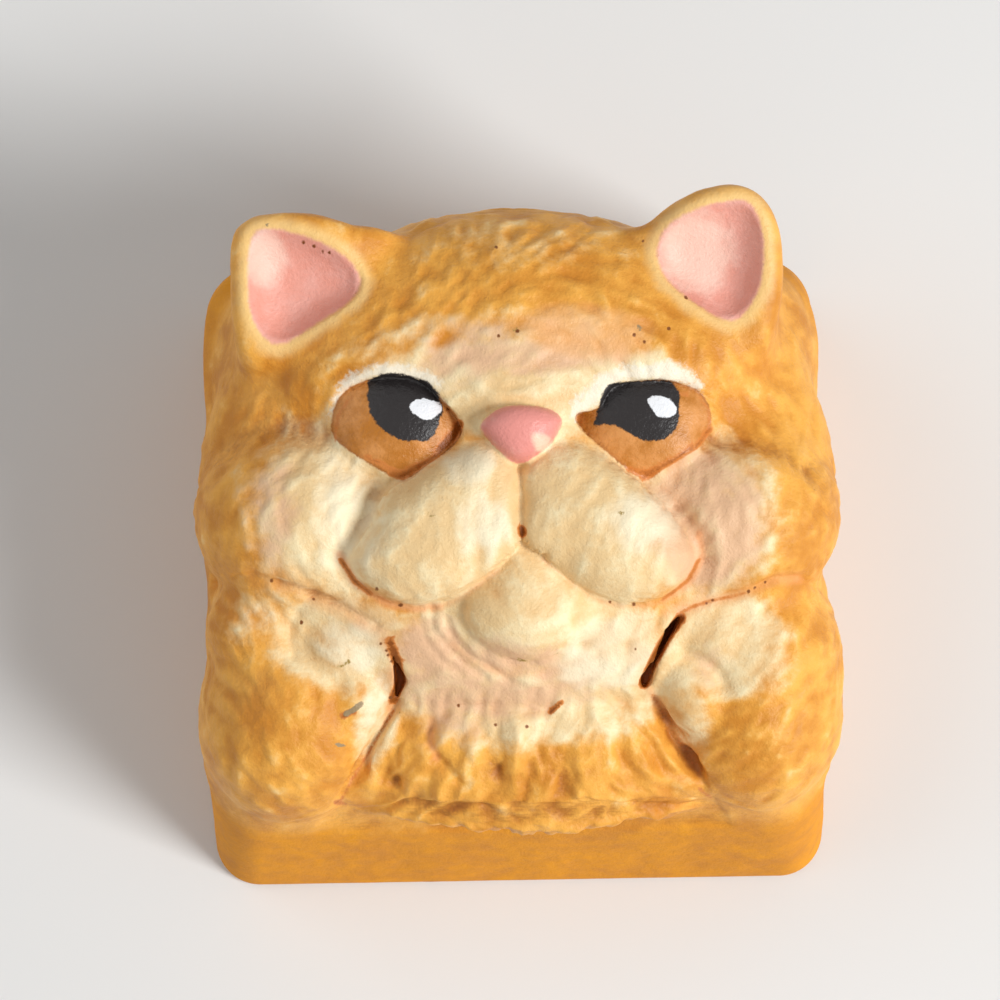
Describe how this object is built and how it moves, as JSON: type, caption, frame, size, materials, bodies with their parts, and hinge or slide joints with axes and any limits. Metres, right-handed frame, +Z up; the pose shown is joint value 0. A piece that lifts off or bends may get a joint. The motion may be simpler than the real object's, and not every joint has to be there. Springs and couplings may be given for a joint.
{
  "type": "artisan keycap",
  "caption": "Square keyboard keycap cast as a chubby cat looking up, with a tapered skirt and a cross-socket post in its hollow underside.",
  "frame": {"origin": "centre of the skirt's rim, on the axis of the post, in the plane that the rim rests on", "axes": "+Z up out of the keyboard, -Y towards the typist (the skirt's plain front), +X to the typist's right"},
  "size_m": [0.0182, 0.018, 0.013],
  "materials": {
    "painted_resin": "hand-painted, satin"
  },
  "bodies": {
    "root": {"keycap": "painted_resin"}
  },
  "joints": []
}
